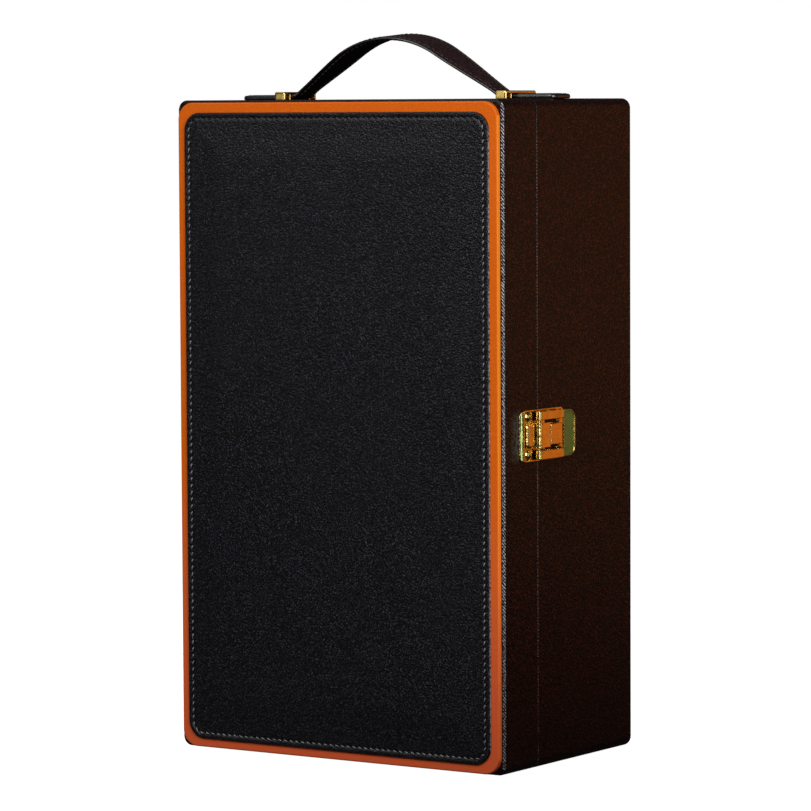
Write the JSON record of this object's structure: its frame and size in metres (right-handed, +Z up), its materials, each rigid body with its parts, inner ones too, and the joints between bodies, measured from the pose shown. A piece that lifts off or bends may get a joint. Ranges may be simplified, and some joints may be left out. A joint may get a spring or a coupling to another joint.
{
  "type": "leather wine box",
  "caption": "Upright leather-covered case for wine bottles: side-hinged lid with a stitched padded panel, brass hasp, strap handle and bottle tray.",
  "frame": {"origin": "centre of the closed box's footprint, on the surface it stands on", "axes": "+X to the side with the hasp, -Y to the front panel of the lid, +Z up"},
  "size_m": [0.219, 0.1331, 0.3846],
  "materials": {
    "brown_leather": "pebbled, satin, dark brown",
    "strap_leather": "pebbled, satin, dark brown",
    "black_leather": "fine pebble, padded, pale stitched border",
    "orange_leather": "smooth, satin, orange",
    "brass": "polished",
    "board": "bare fibreboard, hidden",
    "card": "grey card, hidden",
    "foam": "soft foam, hidden",
    "velvet": "velvet, dark brown"
  },
  "bodies": {
    "box": {"body_back_board": "board", "body_bottom_board": "board", "body_hinge_screws": "brass", "body_leather": "brown_leather", "body_left_board": "board", "body_lining": "velvet", "body_right_board": "board", "body_top_board": "board", "bottle_tray": "velvet", "clasp_catch": "brass", "clasp_strike_plate": "brass", "clasp_strike_rivets": "brass", "handle_strap": "strap_leather", "left_handle_loop": "brass", "lower_hinge_body_leaf": "brass", "lower_hinge_pin": "brass", "right_handle_loop": "brass", "upper_hinge_body_leaf": "brass", "upper_hinge_pin": "brass"},
    "lid": {"clasp_lid_plate": "brass", "clasp_lid_rivets": "brass", "clasp_pin": "brass", "front_pad_foam": "foam", "front_pad_leather": "black_leather", "front_panel_card": "card", "front_panel_leather": "orange_leather", "lid_bottle_pad": "velvet", "lid_bottom_board": "board", "lid_front_board": "board", "lid_hinge_screws": "brass", "lid_leather": "brown_leather", "lid_left_board": "board", "lid_lining": "velvet", "lid_right_board": "board", "lid_top_board": "board", "lower_hinge_lid_leaf": "brass", "upper_hinge_lid_leaf": "brass"},
    "hasp": {"clasp_hasp": "brass"},
    "left_handle_end": {"left_handle_tab": "strap_leather"},
    "right_handle_end": {"right_handle_tab": "strap_leather"}
  },
  "joints": [
    {"name": "lid_hinge", "type": "hinge", "parent": "box", "child": "lid", "pos_m": [-0.1066, -0.032, 0.175], "axis": [0, 0, -1], "range_deg": [0, 180]},
    {"name": "hasp_hinge", "type": "hinge", "parent": "lid", "child": "hasp", "pos_m": [0.107, -0.0353, 0.1753], "axis": [0, 0, -1], "range_deg": [0, 150]},
    {"name": "left_tab_slide", "type": "slide", "parent": "box", "child": "left_handle_end", "axis": [-1, 0, 0], "range_m": [0, 0.004], "deforming": ["handle_strap"]},
    {"name": "right_tab_slide", "type": "slide", "parent": "box", "child": "right_handle_end", "axis": [1, 0, 0], "range_m": [0, 0.004]}
  ],
  "couplings": [
    {"joint": "right_tab_slide", "follows": "left_tab_slide", "ratio": 1}
  ]
}
